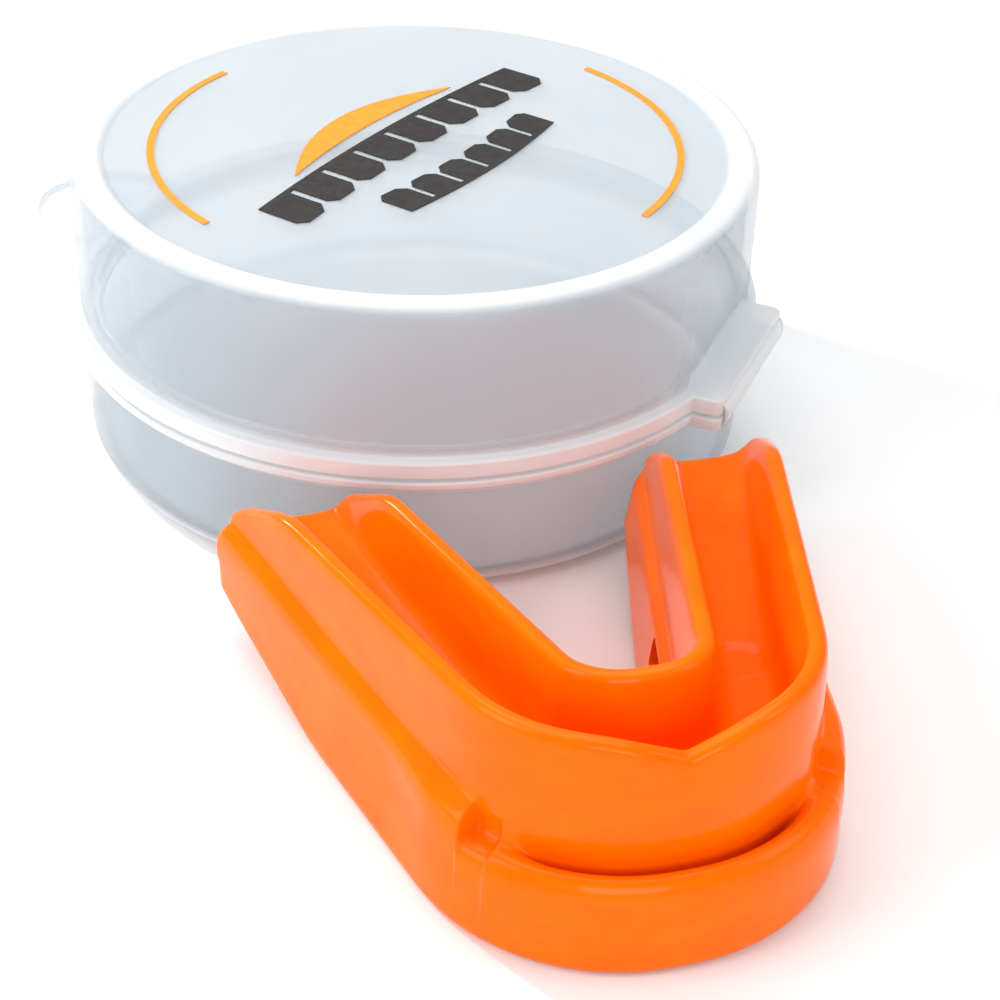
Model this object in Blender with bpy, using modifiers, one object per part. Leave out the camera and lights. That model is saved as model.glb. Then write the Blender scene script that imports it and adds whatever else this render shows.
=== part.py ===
"""A double mouthguard standing beside its round hinged case. Metres, +Z up, origin under the case's centre.

The case is two turned polypropylene shells joined by a film hinge, with a print on its lid. The mouthguard is
one soft moulding: an upper and a lower trough back to back on an arch, with a breathing channel at the front.
"""

import bpy
import bmesh
from math import cos, pi, radians, sin, sqrt
from mathutils import Matrix, Vector

MM = 0.001
GAP = 0.3                    # clearance between pieces that touch, mm

# Case, in mm
CASE_R = 42.0                # outside of the wall
CASE_H = 37.5                # base and lid closed
WALL = 1.2                   # thickness of the wall, floor and top
PART_Z = 16.2                # middle of the parting line
FLANGE_R = 43.2              # rim round each shell at the parting line
LID_RIM_T = 2.2              # heights of the two rims
BASE_RIM_T = 1.0
LEDGE_T = 1.6                # thickness of the base's hinge ledge
LIP_R = 40.4                 # outside of the base's ring that plugs into the lid
LIP_T = 0.9
LIP_H = 3.0                  # height of that ring over the base's rim
PANEL_R = 38.4               # the sunk panel on the lid's top
PANEL_DROP = 0.6
EDGE_R = 2.4                 # rounding of the lid's top edge and the base's bottom edge
STEPS = 72                   # facets round a turned shell
HINGE_DEG = -22.0            # direction of the hinge from the case's axis
HINGE_DIST = 45.3            # from the case's axis to the hinge line
HINGE_HALF = 12.4            # half the length of the hinge's ledges
FILM_T = 0.4                 # thickness of the film hinge
POCKET_D = 39.6              # flat pocket in the lid's wall over its hinge ledge, from the case's axis
POCKET_TOP = 31.0            # height where the pocket's sloping face runs out into the wall
POCKET_LEAN = 2.4
BACKING_D = 38.2             # inner face of the wall behind the pocket
TAB_HALF = 10.5              # half the width of the lid's thumb tab
TAB_OUT = 12.4               # how far the tab stands out of the rim
TAB_T = 1.5
TAB_RIM = 0.9                # width and extra height of the tab's raised rim

# Print on the lid, in mm
INK_T = 0.15
INK_GAP = 0.1
ARC_R = 32.3                 # middle of the two thin arcs
ARC_W = 0.9
ARC_HALF_DEG = 41.0
ARC_DEG = (184.0, 8.0)       # directions of the arcs' middles
EMBLEM_DEG = 57.0            # direction in which the emblem's rows run
ROW_LEN = 52.0               # length of the upper row of teeth

# Mouthguard, in mm, in its own frame: +Y from the rear ends to the front, z = 0 where it stands
GUARD_AT = (20.9, -69.0)     # the point (0, GUARD_MID) of its frame
GUARD_MID = 30.0
GUARD_YAW = 197.0
REAR_HALF = 24.0             # arch's centre line at the rear ends
ARM_TAPER = radians(15)      # the arms close towards the front
FRONT_Y = 51.6               # arch's centre line at the front
ARCH_R = 11.8                # radius of the centre line round the front
RIM_FRONT = 25.2             # height of the upper rim at the front
RIM_SLOPE = 0.075            # and its fall towards the rear
REAR_DROP = 5.2              # extra fall of the rims at the rear ends
REAR_RUN = 10.0
FLOOR_Z = 13.0               # upper trough's floor
PLATE = 3.2                  # bite plate between the two troughs
CHANNEL = (7.0, 10.8)        # heights of the breathing channel
CHANNEL_HALF = 10.0          # half its length along the arch
PORT_HALF = 32.0             # half the length of its mouth on the tongue's side
LIP_HALF = 11.6              # half the length of the front lip along the arch
NOTCH_HALF = 13.6            # where the notches beside the lip end
NOTCH_DEPTH = 2.4            # dip of the rim for the lip's band
PIP_R = 2.6                  # shallow round marks in the floor
PIP_Y = 34.4


def clear_scene():
    for obj in list(bpy.data.objects):
        bpy.data.objects.remove(obj, do_unlink=True)


def new_collection(name):
    made = bpy.data.collections.new(name)
    bpy.context.scene.collection.children.link(made)
    return made


def material(name, colour, roughness, alpha=1.0):
    made = bpy.data.materials.new(name)
    made.use_nodes = True
    shader = made.node_tree.nodes["Principled BSDF"]
    shader.inputs["Base Color"].default_value = (*colour, 1)
    shader.inputs["Roughness"].default_value = roughness
    shader.inputs["Metallic"].default_value = 0
    shader.inputs["Alpha"].default_value = alpha
    made.diffuse_color = (*colour, alpha)
    return made


def mesh_object(name, bm, where, mat=None, smooth=35):
    bmesh.ops.recalc_face_normals(bm, faces=bm.faces)
    mesh = bpy.data.meshes.new(name)
    bm.to_mesh(mesh)
    bm.free()
    mesh.shade_smooth()
    mesh.set_sharp_from_angle(angle=radians(smooth))
    obj = bpy.data.objects.new(name, mesh)
    where.objects.link(obj)
    if mat:
        mesh.materials.append(mat)
    return obj


def cutter(obj):
    obj.hide_render = True
    obj.display_type = "WIRE"
    return obj


def boolean(obj, other, operation):
    modifier = obj.modifiers.new(operation.title() + "_" + other.name, "BOOLEAN")
    modifier.object = other
    modifier.operation = operation
    modifier.solver = "EXACT"


def arc(cx, cz, radius, start_deg, end_deg, count):
    """Points on an arc in the (r, z) plane, from start to end."""
    turn = [radians(start_deg + (end_deg - start_deg) * i / count) for i in range(count + 1)]
    return [(cx + radius * cos(a), cz + radius * sin(a)) for a in turn]


def turned(name, profile, where, mat):
    """A shell turned about Z from (r, z) points in mm that run down its outer side."""
    bm = bmesh.new()
    points = [bm.verts.new((r * MM, 0, z * MM)) for r, z in profile]
    for a, b in zip(points, points[1:]):
        bm.edges.new((a, b))
    mesh = bpy.data.meshes.new(name)
    bm.to_mesh(mesh)
    bm.free()
    obj = bpy.data.objects.new(name, mesh)
    where.objects.link(obj)
    mesh.materials.append(mat)
    screw = obj.modifiers.new("Turn", "SCREW")
    screw.steps = screw.render_steps = STEPS
    screw.use_merge_vertices = True
    screw.merge_threshold = 0.00005
    screw.use_smooth_shade = True
    return obj


def base_profile():
    inner = CASE_R - WALL
    top = PART_Z - 0.2
    under = top - BASE_RIM_T
    return (
        [(0, WALL), (inner - EDGE_R, WALL)]
        + arc(inner - EDGE_R, WALL + EDGE_R, EDGE_R, -90, 0, 4)[1:]
        + [(inner, under - 0.6), (LIP_R - LIP_T, under + 0.8), (LIP_R - LIP_T, top + LIP_H)]
        + [(LIP_R - 0.2, top + LIP_H), (LIP_R, top + LIP_H - 0.5), (LIP_R, top)]
        + [(FLANGE_R - 0.3, top), (FLANGE_R, top - 0.3), (FLANGE_R, under + 0.3)]
        + [(FLANGE_R - 0.3, under), (CASE_R, under - 0.2)]
        + arc(CASE_R - EDGE_R - 0.3, EDGE_R, EDGE_R, 0, -90, 5)
        + [(0, 0)]
    )


def lid_profile():
    inner = CASE_R - WALL
    low = PART_Z + 0.2
    over = low + LID_RIM_T
    return (
        [(0, CASE_H - PANEL_DROP), (PANEL_R - 0.5, CASE_H - PANEL_DROP), (PANEL_R, CASE_H)]
        + arc(CASE_R - EDGE_R, CASE_H - EDGE_R, EDGE_R, 90, 0, 6)
        + [(CASE_R, over + 0.2), (FLANGE_R - 0.3, over), (FLANGE_R, over - 0.3)]
        + [(FLANGE_R, low + 0.3), (FLANGE_R - 0.3, low), (inner + 0.2, low), (inner, low + 0.4)]
        + arc(inner - EDGE_R, CASE_H - WALL - EDGE_R - 0.4, EDGE_R, 0, 90, 4)
        + [(PANEL_R - 2.4, CASE_H - PANEL_DROP - WALL), (0, CASE_H - PANEL_DROP - WALL)]
    )


def prism(name, outline, low, high, where, mat=None, turn=0.0, lean=0.0):
    """A solid over an outline of (x, y) points in mm, its top moved by lean along X, then turned about Z."""
    bm = bmesh.new()
    face = bm.faces.new([bm.verts.new((x * MM, y * MM, low * MM)) for x, y in outline])
    grown = bmesh.ops.extrude_face_region(bm, geom=[face])
    tops = [v for v in grown["geom"] if isinstance(v, bmesh.types.BMVert)]
    bmesh.ops.translate(bm, verts=tops, vec=(lean * MM, 0, (high - low) * MM))
    bmesh.ops.rotate(bm, verts=bm.verts, cent=(0, 0, 0), matrix=Matrix.Rotation(radians(turn), 3, "Z"))
    return mesh_object(name, bm, where, mat)


def ledge_outline():
    """A hinge ledge over +X: straight at the hinge line, and sunk in the wall behind."""
    out = HINGE_DIST - 0.2 - GAP
    back = CASE_R - WALL / 2
    behind = sqrt(back ** 2 - HINGE_HALF ** 2)
    side = [(back * cos(a), back * sin(a)) for a in (radians(k) for k in range(14, -15, -4))]
    return [(behind, -HINGE_HALF), (out - 0.8, -HINGE_HALF), (out, -HINGE_HALF + 0.8),
            (out, HINGE_HALF - 0.8), (out - 0.8, HINGE_HALF), (behind, HINGE_HALF)] + side


def tab_outline(inset):
    """The thumb tab over -X: a full rounded tongue whose straight side is sunk in the rim."""
    half, out = TAB_HALF - inset, TAB_OUT - inset
    root = FLANGE_R - 4.0
    turns = [radians(k) for k in range(0, 181, 10)]
    return [(-root - (out + 4.0) * abs(sin(a)) ** 0.8, half * cos(a) * (1 + 0.12 * sin(2 * a) ** 2))
            for a in turns]


def pocket_outline(near, far, half, corner):
    """A rectangle across +X from near to far, with its two near corners rounded."""
    turns = [radians(90 * k / 3) for k in range(4)]
    low = [(near + corner - corner * sin(a), corner - half - corner * cos(a)) for a in turns]
    return [(far, -half)] + low + [(x, -y) for x, y in reversed(low)] + [(far, half)]


def case(where, cutters, clear_pp, lid_pp):
    base = turned("case_base", base_profile(), where, clear_pp)
    lid = turned("case_lid", lid_profile(), where, lid_pp)
    top = PART_Z - 0.2
    low = PART_Z + 0.2
    over = low + LID_RIM_T
    base_ledge = prism("base_ledge", ledge_outline(), top - LEDGE_T, top, cutters, turn=HINGE_DEG)
    ring_gap = pocket_outline(36.0, 41.4, 14.2, 0.5)
    ring_cut = prism("ring_cut", ring_gap, top + 0.05, top + 5, cutters, turn=HINGE_DEG)
    boolean(base, base_ledge, "UNION")
    boolean(base, ring_cut, "DIFFERENCE")
    lid_ledge = prism("lid_ledge", ledge_outline(), low, over, cutters, turn=HINGE_DEG)
    backing_face = pocket_outline(BACKING_D, 46.0, 13.6, 3.0)
    backing = prism("backing", backing_face, low, POCKET_TOP, cutters, turn=HINGE_DEG, lean=POCKET_LEAN)
    within = turned("wall_space", [(0, 36), (CASE_R - 0.5, 36), (CASE_R - 0.5, 12), (0, 12)], cutters, None)
    boolean(backing, within, "INTERSECT")
    pocket_face = pocket_outline(POCKET_D, 48.0, 12.2, 2.0)
    pocket = prism("pocket", pocket_face, over, POCKET_TOP, cutters, turn=HINGE_DEG, lean=POCKET_LEAN)
    tab = prism("tab_body", tab_outline(0), low, low + TAB_T + TAB_RIM, cutters, turn=HINGE_DEG)
    tab_inside = tab_outline(TAB_RIM * 1.3)
    dish = prism("tab_dish", tab_inside, low + TAB_T, low + TAB_T + 3, cutters, turn=HINGE_DEG)
    mid_wall = CASE_R - WALL / 2
    core = turned("lid_core", [(0, 40), (mid_wall, 40), (mid_wall, 10), (0, 10)], cutters, None)
    boolean(tab, dish, "DIFFERENCE")
    boolean(tab, core, "DIFFERENCE")
    boolean(lid, lid_ledge, "UNION")
    boolean(lid, backing, "UNION")
    boolean(lid, pocket, "DIFFERENCE")
    boolean(lid, tab, "UNION")
    for tool in (base_ledge, ring_cut, lid_ledge, backing, within, pocket, tab, dish, core):
        cutter(tool)
    half = HINGE_HALF - 1.0
    film = [(HINGE_DIST + FILM_T / 2, -half), (HINGE_DIST + FILM_T / 2, half),
            (HINGE_DIST - FILM_T / 2, half), (HINGE_DIST - FILM_T / 2, -half)]
    prism("hinge_film", film, top - LEDGE_T + 0.2, PART_Z + 0.35, where, clear_pp, turn=HINGE_DEG)


def hang(pieces, point, where):
    """Hangs pieces on an empty at a point in mm on their joint's axis, where they stay in place."""
    axis = bpy.data.objects.new("lid_axis", None)
    where.objects.link(axis)
    axis.location = Vector(point) * MM
    for obj in pieces:
        obj.parent = axis
        obj.location = -axis.location


def flat_print(name, outline, where, ink, turn=0.0):
    low = CASE_H - PANEL_DROP + INK_GAP
    return prism(name, outline, low, low + INK_T, where, ink, turn)


def comb(length, tooth_h, count, spine, bow):
    """A row of teeth on a thin spine, bowed so that its middle stands proud by bow."""
    pitch = length / count
    gap = 0.16 * pitch

    def bent(x, y):
        return x, y + bow * (1 - (2 * x / length) ** 2)

    teeth = []
    for i in range(count):
        left = -length / 2 + i * pitch + gap / 2
        right = left + pitch - gap
        soft = 0.22 * (right - left)
        teeth += [bent(left, 0), bent(left, -tooth_h + soft), bent(left + soft, -tooth_h)]
        teeth += [bent(right - soft, -tooth_h), bent(right, -tooth_h + soft), bent(right, 0)]
    back = [bent(length / 2 - gap / 2 - length * i / 16, spine) for i in range(1, 16)]
    return teeth + [bent(length / 2 - gap / 2, spine)] + back + [bent(-length / 2 + gap / 2, spine)]


def crescent(length, thick, bow, count=18):
    """A sliver on a chord of length: its hollow side bowed by bow, its middle thick across."""
    steps = [2 * i / count - 1 for i in range(count + 1)]
    outer = [(length * t / 2, (bow + thick) * (1 - t ** 2)) for t in steps]
    inner = [(-length * t / 2, bow * (1 - t ** 2)) for t in steps[1:-1]]
    return outer + inner


def placed(outline, along, across):
    return [(x + along, y + across) for x, y in outline]


def lid_prints(where, orange_ink, dark_ink):
    for side, middle in zip(("left", "right"), ARC_DEG):
        turns = [radians(middle - ARC_HALF_DEG + 2 * ARC_HALF_DEG * i / 16) for i in range(17)]
        outer = [((ARC_R + ARC_W / 2) * cos(a), (ARC_R + ARC_W / 2) * sin(a)) for a in turns]
        inner = [((ARC_R - ARC_W / 2) * cos(a), (ARC_R - ARC_W / 2) * sin(a)) for a in reversed(turns)]
        flat_print("print_arc_" + side, outer + inner, where, orange_ink)
    upper = comb(ROW_LEN, 6.0, 8, 0.7, 1.5)
    lower = [(-x, -y) for x, y in comb(ROW_LEN * 0.6, 4.6, 6, 0.7, 1.2)]
    flat_print("print_upper_teeth", placed(upper, 0, 3.4), where, dark_ink, EMBLEM_DEG)
    flat_print("print_lower_teeth", placed(lower, 0, -9.4), where, dark_ink, EMBLEM_DEG)
    gum = crescent(ROW_LEN * 0.62, 4.2, 1.6)
    flat_print("print_gum_arch", placed(gum, 0, 6.2), where, orange_ink, EMBLEM_DEG)


def smooth(x):
    x = min(1.0, max(0.0, x))
    return x * x * (3 - 2 * x)


ARC_X = (cos(ARM_TAPER) * REAR_HALF - ARCH_R - sin(ARM_TAPER) * (FRONT_Y - ARCH_R)) / cos(ARM_TAPER)
ARC_SWEEP = pi / 2 - ARM_TAPER
ARC_END = ARC_X + ARCH_R * ARC_SWEEP
ARM_LEN = (FRONT_Y - ARCH_R + ARCH_R * cos(ARC_SWEEP)) / sin(ARC_SWEEP)
ARCH_HALF = ARC_END + ARM_LEN


def arch(s):
    """Centre point and outward direction at arc length s from the front's middle, for s of either sign."""
    side = 1 if s >= 0 else -1
    s = abs(s)
    if s <= ARC_X:
        point, out = Vector((s, FRONT_Y)), Vector((0, 1))
    else:
        turn = min((s - ARC_X) / ARCH_R, ARC_SWEEP)
        out = Vector((sin(turn), cos(turn)))
        point = Vector((ARC_X, FRONT_Y - ARCH_R)) + out * ARCH_R
        point += Vector((out.y, -out.x)) * max(0.0, s - ARC_END)
    level = smooth(1 - point.y / 14)
    out = out.lerp(Vector((1 / cos(ARM_TAPER), 0)), level)
    return Vector((side * point.x, point.y)), Vector((side * out.x, out.y))


def heights(s):
    """Heights that the section at s is drawn from."""
    y = arch(s)[0].y
    beside = sqrt(arch(s)[0].x ** 2 + 0.25) - 0.5
    back = 1 - y / FRONT_Y
    drop = REAR_DROP * (1 - min(1.0, y / REAR_RUN)) ** 1.2
    notch = NOTCH_DEPTH * max(0.0, 1 - beside / 6.0) ** 1.6
    rim = RIM_FRONT - RIM_SLOPE * (FRONT_Y - y) - drop
    floor = FLOOR_Z + 1.6 * max(0.0, 1 - y / 34) ** 1.5
    near_front = smooth((23 - abs(s)) / 5)
    ceiling = (floor - PLATE) * (1 - near_front) + (CHANNEL[0] - 2.2) * near_front
    bottom = 6.0 * max(0.0, 1 - y / 21) ** 1.3
    return {"rim": rim - notch, "inner_rim": rim - 0.8 + 0.8 * back * drop / REAR_DROP, "floor": floor,
            "ceiling": ceiling, "bottom": bottom, "half": 5.15 + 0.75 * back, "flare": 2.0 * (1 - back)}


def section(s, kind):
    """The moulding's section at s as (u, z) points in mm, u outwards. kind is arm, notch or lip."""
    h = heights(s)
    w, rim, inner, floor = h["half"], h["rim"], h["inner_rim"], h["floor"]
    low, top, flare = h["bottom"], h["ceiling"], h["flare"]
    foot = w + 3.0 + flare
    upper = [(w + 0.55, rim - 0.2), (w, rim), (w - 0.6, rim - 0.25), (w - 0.95, rim - 1.0),
             (w - 1.5, floor + 1.6), (w - 2.2, floor + 0.45), (w - 3.2, floor),
             (3.2 - w, floor), (2.2 - w, floor + 0.45), (1.5 - w, floor + 1.6),
             (0.95 - w, inner - 1.0), (0.6 - w, inner - 0.25), (-w, inner), (-w - 0.55, inner - 0.2)]
    tongue = [(-w - 0.95, inner - 1.0), (-w - 1.5, floor + 0.4), (-w - 1.6, floor - 0.9),
              (-w - 2.2, floor - 1.9), (-w - 2.7, floor - 3.2), (-w - 3.3, low + 3.0),
              (-w - 3.4, low + 0.7), (-w - 2.8, low)]
    under = [(-w - 1.5, low), (-w - 0.8, low + 0.6), (-w + 0.4, top - 0.8), (-w + 1.2, top),
             (w - 1.2, top), (w - 0.2, top - 0.8), (foot - 2.6, low + 0.6), (foot - 1.9, low)]
    if kind == "arm":
        z = floor + 0.1
        k = 1.1 * smooth((26 - abs(s)) / 12)
        outer = [(foot - 0.6, low), (foot, low + 0.7), (foot - 0.3 * flare + 0.4 * k, low + 3.0),
                 (w + 3.25 + k, z - 2.9 - k), (w + 3.2 + k, z - 1.0), (w + 2.8 + 0.7 * k, z),
                 (w + 2.4 + 0.4 * k, z + 0.5), (w + 1.85, z + 0.9), (w + 1.6, z + 2.0),
                 (w + 1.4, (z + 2.5 + rim) / 2), (w + 0.95, rim - 1.0)]
    elif kind == "notch":
        outer = [(foot - 0.6, low), (foot, low + 0.7), (foot - 0.1, low + 3.0), (w + 4.7, 7.8),
                 (w + 4.1, 9.8), (w + 3.3, 10.5), (w + 1.9, 10.7), (w + 1.2, 11.2), (w + 1.2, 12.6),
                 (w + 1.5, 13.4), (w + 0.95, rim - 1.0)]
    else:
        valley = [(w + 2.1, 10.4), (w + 1.5, 7.6), (w + 0.8, 7.2), (w + 1.2, 12.6)]
        filled_in = [(w + 2.1, 11.2), (w + 1.75, 11.8), (w + 1.62, 12.7), (w + 1.55, 14.2)]
        end = smooth((abs(s) - LIP_HALF + 4.5) / 4.5)
        crest = [(foot - 1.4, low), (foot - 0.2, low + 0.8), (foot, low + 3.5), (w + 4.9, 7.6),
                 (w + 4.3, 10.2), (w + 3.2, 11.1 - 0.2 * end)]
        behind = [tuple(Vector(a).lerp(Vector(b), end)) for a, b in zip(valley, filled_in)]
        outer = crest + behind + [(w + 0.95, rim - 1.0)]
    return upper + tongue + under + outer


def loft(name, stations, where, mat=None):
    """A closed solid through (points, closed section) stations, with flat ends."""
    bm = bmesh.new()
    rings = [[bm.verts.new(p) for p in points] for points in stations]
    for a, b in zip(rings, rings[1:]):
        for i in range(len(a)):
            j = (i + 1) % len(a)
            bm.faces.new((a[i], a[j], b[j], b[i]))
    bm.faces.new(rings[0])
    bm.faces.new(rings[-1])
    bmesh.ops.triangulate(bm, faces=[f for f in bm.faces if len(f.verts) > 4])
    return mesh_object(name, bm, where, mat, smooth=40)


def on_arch(s, points):
    centre, out = arch(s)
    return [Vector(((centre.x + out.x * u) * MM, (centre.y + out.y * u - GUARD_MID) * MM, z * MM))
            for u, z in points]


def guard_stations():
    """Arc lengths from the right rear end to the left one, with the kind of section at each."""
    lip = [LIP_HALF * k / 9 for k in range(10)]
    notch = [LIP_HALF + 0.3, (LIP_HALF + NOTCH_HALF) / 2, NOTCH_HALF]
    arms = [NOTCH_HALF + 0.3, 16.6, 18.5, 20.6, 23.0]
    run = [23.0 + (ARCH_HALF - 1.2 - 23.0) * k / 11 for k in range(1, 12)]
    half = [(s, "lip") for s in lip] + [(s, "notch") for s in notch]
    half += [(s, "arm") for s in arms + run + [ARCH_HALF - 0.4]]
    return [(-s, kind) for s, kind in reversed(half[1:])] + half


def mouthguard(where, cutters, orange):
    stations = [on_arch(s, section(s, kind)) for s, kind in guard_stations()]
    for end, s in ((0, -ARCH_HALF), (-1, ARCH_HALF)):
        middle = sum(stations[end], Vector()) / len(stations[end])
        cap = [middle + (p - middle) * 0.93 for p in on_arch(s, section(s, "arm"))]
        stations.insert(0 if end == 0 else len(stations), cap)
    guard = loft("mouthguard", stations, where, orange)

    def slot(s, outer_u):
        w = heights(s)["half"]
        low, high = CHANNEL
        return on_arch(s, [(-w - 4.6, low), (outer_u, low), (outer_u, high), (-w - 4.6, high)])

    reach = [(PORT_HALF, -4.6), (PORT_HALF - 0.8, -3.9), (PORT_HALF - 5, -3.5), (CHANNEL_HALF + 2, -2.8)]
    reach += [(CHANNEL_HALF * k / 5, 5.2) for k in (5, 4, 3, 2, 1)]
    run = [(-s, u) for s, u in reach] + [(0, 5.2)] + list(reversed(reach))
    channel = loft("breathing_channel", [slot(s, u) for s, u in run], cutters)
    boolean(guard, channel, "DIFFERENCE")
    tools = [channel]
    for side in (-1, 1):
        bm = bmesh.new()
        radius = PIP_R * MM
        bmesh.ops.create_cone(bm, cap_ends=True, segments=24, radius1=radius, radius2=radius, depth=4 * MM)
        x = side * (REAR_HALF - PIP_Y * sin(ARM_TAPER) / cos(ARM_TAPER)) * MM
        bmesh.ops.translate(bm, verts=bm.verts, vec=(x, (PIP_Y - GUARD_MID) * MM, (FLOOR_Z + 1.65) * MM))
        pip = mesh_object("floor_mark_" + ("left" if side > 0 else "right"), bm, cutters)
        boolean(guard, pip, "DIFFERENCE")
        tools.append(pip)
    for obj in [guard, *tools]:
        obj.rotation_euler.z = radians(GUARD_YAW)
        obj.location = (GUARD_AT[0] * MM, GUARD_AT[1] * MM, 0)
    for tool in tools:
        cutter(tool)


def main():
    clear_scene()
    parts = new_collection("mouthguard_with_case")
    cutters = new_collection("cutters")
    clear_pp = material("base_polypropylene", (0.74, 0.77, 0.80), 0.32, 0.5)
    lid_pp = material("lid_polypropylene", (0.80, 0.82, 0.84), 0.28, 0.5)
    orange = material("orange_eva", (1.0, 0.16, 0.0), 0.30)
    orange_ink = material("orange_ink", (0.95, 0.33, 0.02), 0.45)
    dark_ink = material("dark_ink", (0.025, 0.022, 0.02), 0.45)
    case(parts, cutters, clear_pp, lid_pp)
    lid_prints(parts, orange_ink, dark_ink)
    mouthguard(parts, cutters, orange)
    hinge = (HINGE_DIST * cos(radians(HINGE_DEG)), HINGE_DIST * sin(radians(HINGE_DEG)), PART_Z)
    moving = [obj for obj in parts.objects if obj.name == "case_lid" or obj.name.startswith("print_")]
    hang(moving, hinge, parts)


main()
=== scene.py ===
"""Looks of a double mouthguard beside its round frosted case: fine surfaces, materials, light and camera.

Shapes are worked out in millimetres in the CAD frame, and become metres when their meshes are made. The
case's axis is the frame's Z axis. The mouthguard has a frame of its own: +Y from its rear ends to its
front, z = 0 at its foot.
"""

from math import atan2, cos, pi, radians, sin, sqrt, tan

import bmesh
import bpy
import numpy as np
from mathutils import Matrix, Vector

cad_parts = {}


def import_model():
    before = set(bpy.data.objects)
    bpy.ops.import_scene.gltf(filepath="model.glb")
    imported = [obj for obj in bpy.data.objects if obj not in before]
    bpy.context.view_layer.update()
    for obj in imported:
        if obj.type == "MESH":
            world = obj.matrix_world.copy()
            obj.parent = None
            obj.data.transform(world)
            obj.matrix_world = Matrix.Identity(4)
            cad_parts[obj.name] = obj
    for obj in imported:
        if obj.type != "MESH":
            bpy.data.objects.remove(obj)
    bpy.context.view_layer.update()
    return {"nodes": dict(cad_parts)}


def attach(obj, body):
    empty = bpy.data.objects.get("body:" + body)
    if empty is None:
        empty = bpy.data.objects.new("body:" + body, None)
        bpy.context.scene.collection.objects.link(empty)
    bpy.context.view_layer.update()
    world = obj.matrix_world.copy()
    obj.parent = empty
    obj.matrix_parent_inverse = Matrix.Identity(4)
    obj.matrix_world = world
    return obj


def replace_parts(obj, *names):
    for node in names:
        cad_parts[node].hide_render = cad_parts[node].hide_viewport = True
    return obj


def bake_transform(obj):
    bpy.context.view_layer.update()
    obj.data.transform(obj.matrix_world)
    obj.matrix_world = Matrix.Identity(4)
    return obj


MM = 0.001
RIM_COVER = 0.35             # how much more a rim hides than a plain wall

# Case
CASE_R = 42.0                # outside of the wall
CASE_H = 37.5                # base and lid closed
WALL = 1.2                   # thickness of the wall, the floor and the panel
TOP_T = 1.5                  # thickness of the lid's top round the panel
PART_Z = 16.2                # middle of the parting line
HALF_PART = 0.2              # from there to either shell
FLANGE_R = 43.2              # rim round each shell at the parting line
LID_RIM_T = 2.2              # heights of the two rims
BASE_RIM_T = 1.0
LEDGE_T = 1.6                # thickness of the base's hinge ledge
RING_R = 40.4                # outside of the base's ring that plugs into the lid
RING_T = 0.9
RING_H = 3.0
PANEL_R = 38.4               # the sunk panel on the lid's top
PANEL_DROP = 0.6
EDGE_R = 2.4                 # rounding of the outer edges
HINGE_DEG = -22.0            # direction of the hinge from the case's axis
HINGE_HALF = 12.4            # half the length of the hinge's ledges
LEDGE_OUT = 44.8             # from the case's axis to the ledges' outer edge
POCKET_D = 39.6              # flat pocket in the lid's wall over its ledge
POCKET_TOP = 31.0
POCKET_LEAN = 2.4
BACKING_D = 38.2             # inner face of the wall behind the pocket
TAB_HALF = 10.5              # half the width of the thumb tab
TAB_OUT = 12.4
TAB_T = 1.5
TAB_RIM = 0.9                # width and extra height of its raised rim
FILM_T = 0.3                 # thickness of the film hinge
FILM_HALF_Z = 1.4            # from the parting line to the film's edges
FILM_BOW = 0.55
TURN_STEPS = 256             # facets round a turned shell

# Mouthguard
GUARD_AT = (20.9, -69.0)     # the point (0, GUARD_MID) of its frame
GUARD_MID = 30.0
GUARD_YAW = 197.0
REAR_HALF = 24.0             # arch's centre line at the rear ends
ARM_TAPER = radians(15)      # the arms close towards the front
FRONT_Y = 51.6               # arch's centre line at the front
ARCH_R = 11.8                # radius of the centre line round the front
RIM_FRONT = 25.2             # height of the upper rim at the front
RIM_SLOPE = 0.075            # and its fall towards the rear
REAR_DROP = 5.2              # extra fall of the rims at the rear ends
REAR_RUN = 10.0
FLOOR_Z = 13.0               # upper trough's floor
PLATE = 3.2                  # bite plate between the two troughs
CHANNEL = (7.0, 10.8)        # heights of the breathing channel
CHANNEL_HALF = 10.0          # half its length along the arch
PORT_HALF = 32.0             # half the length of its mouth on the tongue's side
LIP_HALF = 11.6              # half the length of the front lip along the arch
NOTCH_HALF = 13.6            # where the notches beside the lip end
NOTCH_DEPTH = 2.4            # dip of the rim for the lip's band
MARK_R = 2.6                 # shallow round marks in the trough's floor
MARK_Y = 34.4
MARK_DIP = 0.22

# Camera, in mm and degrees
CAMERA_AT = (10.0, -240.0, 150.0)
CAMERA_PITCH = 34.6
CAMERA_ROLL = 2.0
CAMERA_TURN = -0.4
LENS = 77.0


# ---------------------------------------------------------------- node materials

def new_material(name):
    made = bpy.data.materials.new(name)
    made.use_nodes = True
    return made, made.node_tree.nodes["Principled BSDF"]


def add_node(mat, kind, **inputs):
    node = mat.node_tree.nodes.new(kind)
    for key, value in inputs.items():
        node.inputs[key.replace("_", " ")].default_value = value
    return node


def link(mat, output, target):
    mat.node_tree.links.new(output, target)


def noise(mat, scale, detail, stretch=(1, 1, 1)):
    """Noise over the object's own coordinates, in features of 1/scale metres."""
    coords = add_node(mat, "ShaderNodeTexCoord")
    mapping = add_node(mat, "ShaderNodeMapping", Scale=stretch)
    made = add_node(mat, "ShaderNodeTexNoise", Scale=scale, Detail=detail, Roughness=0.55)
    link(mat, coords.outputs["Object"], mapping.inputs["Vector"])
    link(mat, mapping.outputs["Vector"], made.inputs["Vector"])
    return made.outputs["Fac"]


def ramp(mat, source, stops):
    made = add_node(mat, "ShaderNodeValToRGB")
    elements = made.color_ramp.elements
    while len(elements) < len(stops):
        elements.new(0.5)
    for element, (place, colour) in zip(elements, stops):
        element.position = place
        element.color = (*colour, 1)
    link(mat, source, made.inputs["Fac"])
    return made.outputs["Color"]


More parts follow.
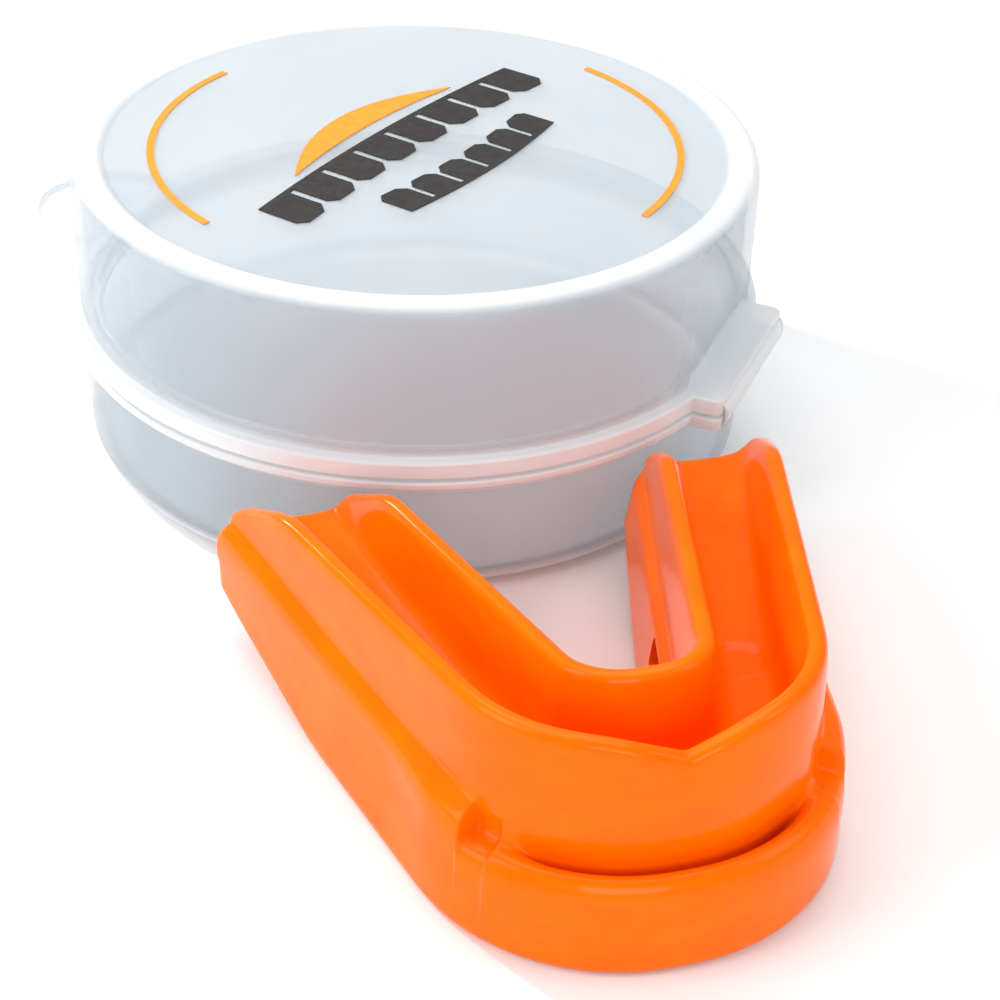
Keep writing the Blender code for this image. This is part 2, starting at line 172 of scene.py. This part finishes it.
def span(mat, source, low, high, start=0.3, end=0.7):
    """source mapped from start..end onto low..high."""
    made = add_node(mat, "ShaderNodeMapRange")
    for key, value in (("From Min", start), ("From Max", end), ("To Min", low), ("To Max", high)):
        made.inputs[key].default_value = value
    link(mat, source, made.inputs["Value"])
    return made.outputs["Result"]


def math_node(mat, operation, a, b):
    made = add_node(mat, "ShaderNodeMath")
    made.operation = operation
    link(mat, a, made.inputs[0])
    link(mat, b, made.inputs[1])
    return made.outputs["Value"]


def bump(mat, shader, source, height, strength):
    made = add_node(mat, "ShaderNodeBump", Strength=strength, Distance=height)
    link(mat, source, made.inputs["Height"])
    link(mat, made.outputs["Normal"], shader.inputs["Normal"])


def eva_material():
    """Glossy soft orange EVA: faint flow marks in the colour, a slightly wavy moulded skin, scuffed gloss."""
    mat, shader = new_material("orange_eva")
    flow = noise(mat, 120, 4, (1, 1, 2.2))
    tint = ramp(mat, flow, [(0.3, (1.0, 0.142, 0.0)), (0.7, (1.0, 0.172, 0.0))])
    link(mat, tint, shader.inputs["Base Color"])
    link(mat, span(mat, noise(mat, 900, 5), 0.11, 0.18), shader.inputs["Roughness"])
    shader.inputs["IOR"].default_value = 1.45
    shader.inputs["Specular IOR Level"].default_value = 0.14
    shader.inputs["Subsurface Weight"].default_value = 0.08
    shader.inputs["Subsurface Radius"].default_value = (1.0, 0.25, 0.03)
    shader.inputs["Subsurface Scale"].default_value = 1.0 * MM
    bump(mat, shader, noise(mat, 260, 2), 0.05 * MM, 0.5)
    return mat


def polypropylene(name, deep, pale, bands, cover):
    """Frosted translucent polypropylene: clear and deep in the plain walls, pale and dense in the rims.

    bands are the rims' (low, high) heights in mm, and cover is how much of the view a plain wall hides. The
    tint is cloudy, the satin skin uneven, the wall a little wavy.
    """
    mat, shader = new_material(name)
    coords = add_node(mat, "ShaderNodeTexCoord")
    split = add_node(mat, "ShaderNodeSeparateXYZ")
    link(mat, coords.outputs["Object"], split.inputs["Vector"])
    height = split.outputs["Z"]
    rim = None
    for low, high in bands:
        rising = span(mat, height, 0, 1, (low - 0.4) * MM, (low + 0.4) * MM)
        falling = span(mat, height, 1, 0, (high - 0.6) * MM, (high + 0.6) * MM)
        both = math_node(mat, "MULTIPLY", rising, falling)
        rim = math_node(mat, "MAXIMUM", rim, both) if rim else both
    cloud = span(mat, noise(mat, 40, 2), -0.08, 0.08)
    tint = ramp(mat, math_node(mat, "ADD", rim, cloud), [(0.0, deep), (1.0, pale)])
    link(mat, tint, shader.inputs["Base Color"])
    link(mat, span(mat, noise(mat, 300, 3), 0.29, 0.36), shader.inputs["Roughness"])
    link(mat, span(mat, rim, cover, cover + RIM_COVER, 0, 1), shader.inputs["Alpha"])
    shader.inputs["IOR"].default_value = 1.49
    bump(mat, shader, noise(mat, 70, 1), 0.06 * MM, 0.3)
    return mat


def ink_material(name, low, high):
    """Pad-printed ink: slightly uneven cover and a satin skin."""
    mat, shader = new_material(name)
    link(mat, ramp(mat, noise(mat, 900, 4), [(0.3, low), (0.7, high)]), shader.inputs["Base Color"])
    link(mat, span(mat, noise(mat, 1500, 3), 0.38, 0.55), shader.inputs["Roughness"])
    bump(mat, shader, noise(mat, 4000, 2), 0.01 * MM, 0.4)
    return mat


# ---------------------------------------------------------------- meshes

def new_object(name, mesh, mat=None):
    obj = bpy.data.objects.new(name, mesh)
    bpy.context.scene.collection.objects.link(obj)
    if mat:
        mesh.materials.clear()
        mesh.materials.append(mat)
    return obj


def mesh_object(name, bm, mat=None, sharp=35):
    bmesh.ops.recalc_face_normals(bm, faces=bm.faces)
    mesh = bpy.data.meshes.new(name)
    bm.to_mesh(mesh)
    bm.free()
    mesh.shade_smooth()
    mesh.set_sharp_from_angle(angle=radians(sharp))
    return new_object(name, mesh, mat)


def applied(obj):
    """The object with its modifiers made part of its mesh."""
    graph = bpy.context.evaluated_depsgraph_get()
    mesh = bpy.data.meshes.new_from_object(obj.evaluated_get(graph))
    obj.modifiers.clear()
    obj.data = mesh
    return obj


def combine(obj, tools, operation):
    """Applies an exact Boolean of each tool to obj, and removes the tools."""
    for tool in tools:
        modifier = obj.modifiers.new(operation, "BOOLEAN")
        modifier.operation = operation
        modifier.solver = "EXACT"
        modifier.object = tool
    applied(obj)
    for tool in tools:
        bpy.data.objects.remove(tool, do_unlink=True)
    return obj


def filleted(corners, step=12):
    """A path through (x, z, radius) corners, each rounded by an arc with a point every step degrees or so."""
    made = []
    for i, (x, z, radius) in enumerate(corners):
        here = Vector((x, z))
        if radius == 0 or i in (0, len(corners) - 1):
            made.append(here)
            continue
        to_last = (Vector(corners[i - 1][:2]) - here)
        to_next = (Vector(corners[i + 1][:2]) - here)
        half = to_last.angle(to_next) / 2
        reach = min(radius / tan(half), 0.48 * to_last.length, 0.48 * to_next.length)
        radius = reach * tan(half)
        start = here + to_last.normalized() * reach
        centre = here + (to_last.normalized() + to_next.normalized()).normalized() * radius / sin(half)
        first = atan2(*reversed(start - centre))
        turn = pi - 2 * half
        side = 1 if to_last.cross(to_next) < 0 else -1
        count = max(2, int(turn / radians(step)))
        angles = [first + side * turn * k / count for k in range(count + 1)]
        made += [centre + radius * Vector((cos(a), sin(a))) for a in angles]
    return made


def turned(name, profile):
    """A closed shell turned about Z; the profile starts and ends on the axis."""
    bm = bmesh.new()
    rings = []
    for r, z in profile:
        if r < 1e-6:
            rings.append([bm.verts.new((0, 0, z * MM))])
            continue
        turns = [2 * pi * k / TURN_STEPS for k in range(TURN_STEPS)]
        rings.append([bm.verts.new((r * cos(a) * MM, r * sin(a) * MM, z * MM)) for a in turns])
    for a, b in zip(rings, rings[1:]):
        for k in range(TURN_STEPS):
            n = (k + 1) % TURN_STEPS
            corners = [a[k % len(a)], a[n % len(a)], b[n % len(b)], b[k % len(b)]]
            bm.faces.new(list(dict.fromkeys(corners)))
    return mesh_object(name, bm, sharp=40)


def turn_to_hinge(bm):
    turn = Matrix.Rotation(radians(HINGE_DEG), 3, "Z")
    bmesh.ops.rotate(bm, verts=bm.verts, cent=(0, 0, 0), matrix=turn)


def prism(name, outline, low, high, bevel=0.0, lean=0.0):
    """A solid over an outline of (x, y) points with rounded rims, its top moved by lean.

    The outline is drawn about the +X axis, and the solid is turned to the hinge.
    """
    bm = bmesh.new()
    face = bm.faces.new([bm.verts.new((x * MM, y * MM, low * MM)) for x, y in outline])
    grown = bmesh.ops.extrude_face_region(bm, geom=[face])
    tops = [v for v in grown["geom"] if isinstance(v, bmesh.types.BMVert)]
    bmesh.ops.translate(bm, verts=tops, vec=(lean * MM, 0, (high - low) * MM))
    if bevel:
        rims = [e for e in bm.edges if abs(e.verts[0].co.z - e.verts[1].co.z) < 1e-7]
        bmesh.ops.bevel(bm, geom=rims, offset=bevel * MM, segments=3, profile=0.5, affect="EDGES")
    turn_to_hinge(bm)
    return mesh_object(name, bm)


# ---------------------------------------------------------------- case

def ledge_outline(half, out, corner):
    """A hinge ledge over +X: a straight outer edge with rounded corners, sunk in the wall behind."""
    back = CASE_R - WALL / 2
    behind = sqrt(back ** 2 - half ** 2)
    front = filleted([(behind, -half, 0), (out, -half, corner), (out, half, corner), (behind, half, 0)], 10)
    turns = [radians(14 - 2 * k) for k in range(1, 14)]
    return [tuple(p) for p in front] + [(back * cos(a), back * sin(a)) for a in turns]


def tab_outline(inset):
    """The thumb tab over -X: a full rounded tongue whose straight side is sunk in the rim."""
    half, out = TAB_HALF - inset, TAB_OUT - inset
    root = FLANGE_R - 4.0
    turns = [radians(3 * k) for k in range(61)]
    return [(-root - (out + 4.0) * abs(sin(a)) ** 0.8, half * cos(a) * (1 + 0.12 * sin(2 * a) ** 2))
            for a in turns]


def pocket_outline(near, far, half, corner):
    """A rectangle across +X from near to far, with its two near corners rounded."""
    turns = [radians(90 * k / 8) for k in range(9)]
    low = [(near + corner - corner * sin(a), corner - half - corner * cos(a)) for a in turns]
    return [(far, -half)] + low + [(x, -y) for x, y in reversed(low)] + [(far, half)]


def base_shell(mat):
    inner = CASE_R - WALL
    top = PART_Z - HALF_PART
    under = top - BASE_RIM_T
    profile = filleted([
        (0, WALL, 0), (inner, WALL, EDGE_R), (inner, under - 0.6, 0.4), (RING_R - RING_T, under + 0.8, 0.4),
        (RING_R - RING_T, top + RING_H, 0.3), (RING_R, top + RING_H, 0.4), (RING_R, top, 0.15),
        (FLANGE_R, top, 0.3), (FLANGE_R, under, 0.3), (CASE_R, under - 0.1, 0.3),
        (CASE_R - 0.25, 0, EDGE_R + 0.4), (0, 0, 0),
    ])
    shell = turned("case_base_shell", profile)
    ledge = prism("ledge", ledge_outline(HINGE_HALF, LEDGE_OUT, 1.2), top - LEDGE_T, top, 0.25)
    ring_gap = pocket_outline(near=36.0, far=41.4, half=14.2, corner=0.5)
    ring_cut = prism("ring_cut", ring_gap, top + 0.05, top + 5)
    combine(shell, [ledge], "UNION")
    combine(shell, [ring_cut], "DIFFERENCE")
    return finished(shell, mat)


def lid_shell(mat):
    inner = CASE_R - WALL
    low = PART_Z + HALF_PART
    over = low + LID_RIM_T
    panel = CASE_H - PANEL_DROP
    profile = filleted([
        (0, panel, 0), (PANEL_R - 0.6, panel, 0.5), (PANEL_R + 0.3, CASE_H, 0.6), (CASE_R, CASE_H, EDGE_R),
        (CASE_R, over + 0.1, 0.3), (FLANGE_R, over, 0.4), (FLANGE_R, low, 0.4), (inner + 0.1, low, 0.3),
        (inner, CASE_H - TOP_T, EDGE_R - 0.5), (PANEL_R - 0.6, CASE_H - TOP_T, 0.6),
        (PANEL_R - 1.6, panel - WALL, 0.6), (0, panel - WALL, 0),
    ])
    shell = turned("case_lid_shell", profile)
    ledge = prism("ledge", ledge_outline(HINGE_HALF, LEDGE_OUT, 1.2), low, over, 0.3)
    backing_face = pocket_outline(near=BACKING_D, far=46.0, half=13.6, corner=3.0)
    backing = prism("backing", backing_face, low, POCKET_TOP, lean=POCKET_LEAN)
    space = turned("space", [(0, 36), (CASE_R - 0.5, 36), (CASE_R - 0.5, 12), (0, 12)])
    combine(backing, [space], "INTERSECT")
    pocket_face = pocket_outline(near=POCKET_D, far=48.0, half=12.2, corner=2.0)
    pocket = prism("pocket", pocket_face, over, POCKET_TOP, lean=POCKET_LEAN)
    tab = prism("tab", tab_outline(0), low, low + TAB_T + TAB_RIM, 0.4)
    dish = prism("dish", tab_outline(TAB_RIM * 1.3), low + TAB_T, low + TAB_T + 3, 0.3)
    mid_wall = CASE_R - WALL / 2
    core = turned("core", [(0, 40), (mid_wall, 40), (mid_wall, 10), (0, 10)])
    combine(tab, [dish, core], "DIFFERENCE")
    combine(shell, [ledge, backing], "UNION")
    combine(shell, [pocket], "DIFFERENCE")
    combine(shell, [tab], "UNION")
    return finished(shell, mat)


def finished(obj, mat, sharp=35):
    obj.data.materials.clear()
    obj.data.materials.append(mat)
    obj.data.shade_smooth()
    obj.data.set_sharp_from_angle(angle=radians(sharp))
    return obj


def film_strip(mat):
    """The film between the ledges: a thin strip that bows outwards."""
    bm = bmesh.new()
    half = HINGE_HALF - 1.0
    rows = []
    for k in range(13):
        a = pi * k / 12
        z = PART_Z - FILM_HALF_Z * cos(a)
        out = LEDGE_OUT - 0.1 + FILM_BOW * sin(a)
        rows.append([bm.verts.new((out * MM, y * half / 12 * MM, z * MM)) for y in range(-12, 13)])
    for a, b in zip(rows, rows[1:]):
        for k in range(24):
            bm.faces.new((a[k], a[k + 1], b[k + 1], b[k]))
    turn_to_hinge(bm)
    strip = mesh_object("hinge_film_strip", bm, mat)
    solid = strip.modifiers.new("Film", "SOLIDIFY")
    solid.thickness = FILM_T * MM
    solid.offset = 0
    return applied(strip)


# ---------------------------------------------------------------- mouthguard

def smooth(x):
    x = min(1.0, max(0.0, x))
    return x * x * (3 - 2 * x)


ARC_X = (cos(ARM_TAPER) * REAR_HALF - ARCH_R - sin(ARM_TAPER) * (FRONT_Y - ARCH_R)) / cos(ARM_TAPER)
ARC_SWEEP = pi / 2 - ARM_TAPER
ARC_END = ARC_X + ARCH_R * ARC_SWEEP
ARM_LEN = (FRONT_Y - ARCH_R + ARCH_R * cos(ARC_SWEEP)) / sin(ARC_SWEEP)
ARCH_HALF = ARC_END + ARM_LEN


def arch(s):
    """Centre point and outward direction at arc length s from the front's middle, for s of either sign."""
    side = 1 if s >= 0 else -1
    s = abs(s)
    if s <= ARC_X:
        point, out = Vector((s, FRONT_Y)), Vector((0, 1))
    else:
        turn = min((s - ARC_X) / ARCH_R, ARC_SWEEP)
        out = Vector((sin(turn), cos(turn)))
        point = Vector((ARC_X, FRONT_Y - ARCH_R)) + out * ARCH_R
        point += Vector((out.y, -out.x)) * max(0.0, s - ARC_END)
    level = smooth(1 - point.y / 14)
    out = out.lerp(Vector((1 / cos(ARM_TAPER), 0)), level)
    return Vector((side * point.x, point.y)), Vector((side * out.x, out.y))


def heights(s):
    """Heights and widths that the section at s is drawn from."""
    centre = arch(s)[0]
    back = 1 - centre.y / FRONT_Y
    drop = REAR_DROP * (1 - min(1.0, centre.y / REAR_RUN)) ** 1.2
    beside = sqrt(centre.x ** 2 + 0.25) - 0.5     # |x|, rounded at the middle
    notch = NOTCH_DEPTH * max(0.0, 1 - beside / 6.0) ** 1.6
    rim = RIM_FRONT - RIM_SLOPE * (FRONT_Y - centre.y) - drop
    floor = FLOOR_Z + 1.6 * max(0.0, 1 - centre.y / 34) ** 1.5
    near_front = smooth((23 - abs(s)) / 5)
    ceiling = (floor - PLATE) * (1 - near_front) + (CHANNEL[0] - 2.2) * near_front
    bottom = 6.0 * max(0.0, 1 - centre.y / 21) ** 1.3
    return {"rim": rim - notch, "inner_rim": rim - 0.8 + 0.8 * back * drop / REAR_DROP, "floor": floor,
            "ceiling": ceiling, "bottom": bottom, "half": 5.15 + 0.75 * back, "flare": 2.0 * (1 - back)}


def wall_top(w, rim, floor):
    """A wall's rounded top and its side towards the trough, from outside in, about u = w."""
    t = min(1.0, (rim - floor) / 4)
    foot = min(1.5, 0.35 * (rim - floor))
    return [(w + 0.95, rim - 0.5 * t), (w + 0.5, rim - 0.06 * t), (w - 0.3, rim), (w - 0.85, rim - 0.4 * t),
            (w - 1.15, rim - 1.25 * t), (w - 1.45, (rim - 1.25 * t + floor + foot) / 2),
            (w - 1.85, floor + foot), (w - 2.4, floor + 0.27 * foot), (w - 3.5, floor - 0.05)]


def section(s, kind):
    """The moulding's section at s as (u, z) points, u outwards. kind is arm, notch or lip."""
    h = heights(s)
    w, rim, inner, floor = h["half"], h["rim"], h["inner_rim"], h["floor"]
    low, top, flare = h["bottom"], h["ceiling"], h["flare"]
    foot = w + 3.0 + flare
    rise = min(0.9, 0.3 * (inner - floor))
    inner_top = [(-u, z) for u, z in reversed(wall_top(w, inner, floor))]
    upper = wall_top(w, rim, floor) + [(0, floor - 0.1)] + inner_top
    tongue = [(-w - 1.15, inner - 1.25 * min(1, (inner - floor) / 4)),
              (-w - 1.35, (inner + floor) / 2 + rise / 3), (-w - 1.5, floor + rise), (-w - 1.55, floor - 0.2),
              (-w - 1.75, floor - 0.75), (-w - 2.4, floor - 1.5), (-w - 2.75, floor - 2.6),
              (-w - 3.1, (floor + low) / 2 - 1), (-w - 3.35, low + 2.4), (-w - 3.4, low + 0.9),
              (-w - 3.1, low + 0.15)]
    under = [(-w - 2.3, low), (-w - 1.5, low + 0.15), (-w - 0.9, low + 0.8), (-w + 0.3, top - 1.2),
             (-w + 1.0, top - 0.2), (-w + 2.4, top), (w - 2.4, top), (w - 0.7, top - 0.2),
             (w + 0.1, top - 1.2), (foot - 2.8, low + 0.8), (foot - 2.3, low + 0.15)]
    ridge = min(floor + 0.1, rim - 2.6)
    climb = rim - ridge - 1.6
    tail = [(w + 1.42, ridge + 1.6 + 0.25 * climb), (w + 1.3, ridge + 1.6 + 0.6 * climb),
            (w + 1.15, rim - min(1.2, 0.3 * climb))]
    skirt = [(foot - 1.4, low), (foot - 0.4, low + 0.1), (foot, low + 0.7), (foot - 0.02, low + 1.8)]
    if kind == "arm":
        k = 1.1 * smooth((26 - abs(s)) / 12)
        outer = skirt + [(foot - 0.3 * flare + 0.45 * k, low + 4.2), (w + 3.25 + k, ridge - 3.2 - k),
                         (w + 3.25 + k, ridge - 2.0 - 0.6 * k), (w + 3.2 + 0.9 * k, ridge - 1.1 - 0.3 * k),
                         (w + 3.0 + 0.8 * k, ridge - 0.4), (w + 2.65 + 0.6 * k, ridge + 0.15),
                         (w + 2.15 + 0.3 * k, ridge + 0.6), (w + 1.8 + 0.1 * k, ridge + 0.9),
                         (w + 1.62, ridge + 1.2), (w + 1.55, ridge + 1.7)]
    elif kind == "notch":
        outer = skirt + [(foot - 0.1, low + 4.2), (w + 4.7, 7.8), (w + 4.45, 9.3), (w + 4.0, 10.1),
                         (w + 3.2, 10.45), (w + 1.9, 10.6), (w + 1.35, 10.9), (w + 1.25, 12.4),
                         (w + 1.6, 13.2), (w + 1.6, 14.3)]
    else:
        valley = [(w + 2.4, 10.8), (w + 1.85, 9.6), (w + 1.5, 7.6), (w + 0.9, 7.2), (w + 1.3, 12.6)]
        filled_in = [(w + 2.5, 11.0), (w + 2.05, 11.25), (w + 1.75, 11.8), (w + 1.62, 12.7), (w + 1.6, 14.2)]
        end = smooth((abs(s) - LIP_HALF + 4.5) / 4.5)
        crest = [(foot - 1.4, low), (foot - 0.4, low + 0.1), (foot, low + 0.8), (foot, low + 2.0),
                 (foot, low + 4.2), (w + 4.9, 7.6), (w + 4.7, 9.2), (w + 4.15, 10.5 - 0.2 * end),
                 (w + 3.3, 11.15 - 0.25 * end)]
        outer = crest + [tuple(Vector(a).lerp(Vector(b), end)) for a, b in zip(valley, filled_in)]
    return upper + tongue + under + outer + tail


def inset(points, distance):
    """A closed outline of (u, z) points moved in by distance."""
    ring = [Vector(p) for p in points]
    area = sum(a.cross(b) for a, b in zip(ring, ring[1:] + ring[:1]))
    side = 1 if area > 0 else -1
    made = []
    for last, here, after in zip(ring[-1:] + ring[:-1], ring, ring[1:] + ring[:1]):
        along = (here - last).normalized() + (after - here).normalized()
        normal = Vector((-along.y, along.x)).normalized() * side
        made.append(here + normal * distance)
    return made


def on_arch(s, points):
    centre, out = arch(s)
    return [Vector(((centre.x + out.x * u) * MM, (centre.y + out.y * u - GUARD_MID) * MM, z * MM))
            for u, z in points]


def guard_stations():
    """(arc length, kind, inset) of the sections of one half, from the front's middle to the rear end."""
    lip = [0, 0.5, 1.2, 2.1, 3.2, 4.4, 5.6, 6.8, 8.0, 9.1, 9.9, 10.4, 10.8, 11.1, 11.35, 11.5, LIP_HALF]
    notch = [LIP_HALF + 0.12, LIP_HALF + 0.35, (LIP_HALF + NOTCH_HALF) / 2]
    notch += [NOTCH_HALF - 0.35, NOTCH_HALF - 0.12]
    even_from = 23.0
    arms = [NOTCH_HALF, NOTCH_HALF + 0.15, NOTCH_HALF + 0.5, 15.1, 16.3, 17.4, 18.5, 19.8, 21.2, even_from]
    count = 22
    run = [even_from + (ARCH_HALF - 1.0 - even_from) * k / count for k in range(1, count + 1)]
    half = [(s, "lip", 0) for s in lip] + [(s, "notch", 0) for s in notch]
    half += [(s, "arm", 0) for s in arms + run]
    return half + [(ARCH_HALF - 0.45, "arm", 0.06), (ARCH_HALF - 0.12, "arm", 0.25), (ARCH_HALF, "arm", 0.5)]


def loft(rings, closed_ends):
    bm = bmesh.new()
    rows = [[bm.verts.new(p) for p in ring] for ring in rings]
    for a, b in zip(rows, rows[1:]):
        for k in range(len(a)):
            n = (k + 1) % len(a)
            bm.faces.new((a[k], a[n], b[n], b[k]))
    if closed_ends:
        bm.faces.new(rows[0])
        bm.faces.new(rows[-1])
    return bm


def guard_body():
    half = guard_stations()
    every = [(-s, kind, d) for s, kind, d in reversed(half[1:])] + half
    rings = [on_arch(s, inset(section(s, kind), d) if d else section(s, kind)) for s, kind, d in every]
    body = mesh_object("guard_body", loft(rings, False))
    fine = body.modifiers.new("Fine", "SUBSURF")
    fine.levels = fine.render_levels = 2
    applied(body)
    bm = bmesh.new()
    bm.from_mesh(body.data)
    holes = [e for e in bm.edges if e.is_boundary]
    caps = bmesh.ops.holes_fill(bm, edges=holes, sides=0)["faces"]
    bmesh.ops.triangulate(bm, faces=caps, ngon_method="EAR_CLIP")
    bmesh.ops.recalc_face_normals(bm, faces=bm.faces)
    bm.to_mesh(body.data)
    bm.free()
    return body


def press_marks(obj):
    """Shallow round ejector marks in the upper trough's floor, one in each arm."""
    mesh = obj.data
    points = np.empty(len(mesh.vertices) * 3)
    mesh.vertices.foreach_get("co", points)
    points = points.reshape(-1, 3) / MM
    x = REAR_HALF - MARK_Y * tan(ARM_TAPER)
    for side in (-1, 1):
        away = np.hypot(points[:, 0] - side * x, points[:, 1] - (MARK_Y - GUARD_MID))
        on_floor = np.abs(points[:, 2] - FLOOR_Z) < 0.8
        dip = MARK_DIP / (1 + np.exp((away - MARK_R) / 0.12))
        points[:, 2] -= np.where(on_floor & (away < 1.5 * MARK_R), dip, 0)
    mesh.vertices.foreach_set("co", (points * MM).ravel())
    mesh.update()


def channel_tool():
    """The breathing channel: wide on the tongue's side, through to the valley behind the lip."""
    def slot(s, outer_u):
        w = heights(s)["half"]
        low, high = CHANNEL
        return on_arch(s, [(-w - 4.6, low), (outer_u, low), (outer_u, high), (-w - 4.6, high)])

    reach = [(PORT_HALF, -4.6), (PORT_HALF - 0.8, -3.9), (PORT_HALF - 5, -3.4), (CHANNEL_HALF + 2.5, -3.0)]
    reach += [(CHANNEL_HALF * k / 8, 5.6) for k in range(8, 0, -1)]
    run = [(-s, u) for s, u in reach] + [(0, 5.6)] + list(reversed(reach))
    tool = mesh_object("channel", loft([slot(s, u) for s, u in run], True))
    edge = tool.modifiers.new("Round", "BEVEL")
    edge.width = 0.5 * MM
    edge.segments = 3
    edge.limit_method = "ANGLE"
    return applied(tool)


def mouthguard(mat):
    guard = guard_body()
    press_marks(guard)
    combine(guard, [channel_tool()], "DIFFERENCE")
    guard.name = "mouthguard_moulding"
    finished(guard, mat, 45)
    place = Matrix.Translation((GUARD_AT[0] * MM, GUARD_AT[1] * MM, 0))
    guard.data.transform(place @ Matrix.Rotation(radians(GUARD_YAW), 4, "Z"))
    return guard


# ---------------------------------------------------------------- stage

def stage():
    bm = bmesh.new()
    bmesh.ops.create_grid(bm, x_segments=1, y_segments=1, size=3.0)
    mat, shader = new_material("pale_floor")
    tint = ramp(mat, noise(mat, 30, 2), [(0.2, (0.88, 0.88, 0.88)), (0.8, (0.91, 0.91, 0.91))])
    link(mat, tint, shader.inputs["Base Color"])
    shader.inputs["Roughness"].default_value = 0.7
    floor = mesh_object("floor", bm, mat)
    floor.location.z = -0.05 * MM
    world = bpy.data.worlds.new("studio")
    bpy.context.scene.world = world
    world.use_nodes = True
    world.node_tree.nodes["Background"].inputs["Color"].default_value = (0.96, 0.98, 1.0, 1)
    world.node_tree.nodes["Background"].inputs["Strength"].default_value = 0.32


def soft_light(name, place, size, power, aim=(10, -40, 10)):
    """A rectangular light of size mm and power watts at place, turned to aim."""
    data = bpy.data.lights.new(name, "AREA")
    data.shape = "RECTANGLE"
    data.size, data.size_y = (size[0] * MM, size[1] * MM)
    data.energy = power
    obj = bpy.data.objects.new(name, data)
    bpy.context.scene.collection.objects.link(obj)
    obj.location = Vector(place) * MM
    obj.rotation_euler = (Vector(aim) - Vector(place)).to_track_quat("-Z", "Y").to_euler()


def camera():
    data = bpy.data.cameras.new("camera")
    data.sensor_width = 36
    data.lens = LENS
    data.clip_start = 0.005
    obj = bpy.data.objects.new("camera", data)
    bpy.context.scene.collection.objects.link(obj)
    turn = Matrix.Rotation(radians(CAMERA_TURN), 4, "Z")
    tilt = Matrix.Rotation(radians(90 - CAMERA_PITCH), 4, "X") @ Matrix.Rotation(radians(CAMERA_ROLL), 4, "Z")
    obj.matrix_world = Matrix.Translation(Vector(CAMERA_AT) * MM) @ turn @ tilt
    bpy.context.scene.camera = obj


def main():
    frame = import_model()
    pale = (0.87, 0.89, 0.905)
    base_pp = polypropylene("base_polypropylene", (0.52, 0.60, 0.66), pale, [(-1, 2.2), (14.2, 20)], 0.36)
    lid_pp = polypropylene("lid_polypropylene", (0.54, 0.61, 0.67), pale, [(10, 19), (37.0, 40)], 0.34)
    base = base_shell(base_pp)
    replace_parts(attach(base, "case"), "case_base")
    lid = lid_shell(lid_pp)
    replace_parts(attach(lid, "lid"), "case_lid")
    film = film_strip(base_pp)
    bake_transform(film)
    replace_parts(film, "hinge_film")
    guard = mouthguard(eva_material())
    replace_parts(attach(guard, "mouthguard"), "mouthguard")
    orange_ink = ink_material("orange_ink", (0.90, 0.30, 0.015), (0.96, 0.35, 0.03))
    dark_ink = ink_material("dark_ink", (0.018, 0.016, 0.015), (0.035, 0.031, 0.028))
    for name, node in frame["nodes"].items():
        if name.startswith("print_"):
            node.data.materials.clear()
            node.data.materials.append(dark_ink if name.endswith("teeth") else orange_ink)
    stage()
    soft_light("overhead", (0, 60, 420), (420, 420), 1.35)
    soft_light("left_key", (-330, -180, 260), (200, 300), 0.8)
    soft_light("right_fill", (330, -120, 220), (160, 260), 0.25)
    soft_light("front_fill", (70, -430, 170), (260, 160), 0.6)
    soft_light("ridge_strip", (-270, 170, 180), (16, 110), 0.8, (-5, -80, 20))
    camera()
    bpy.context.scene.view_settings.view_transform = "Standard"


main()
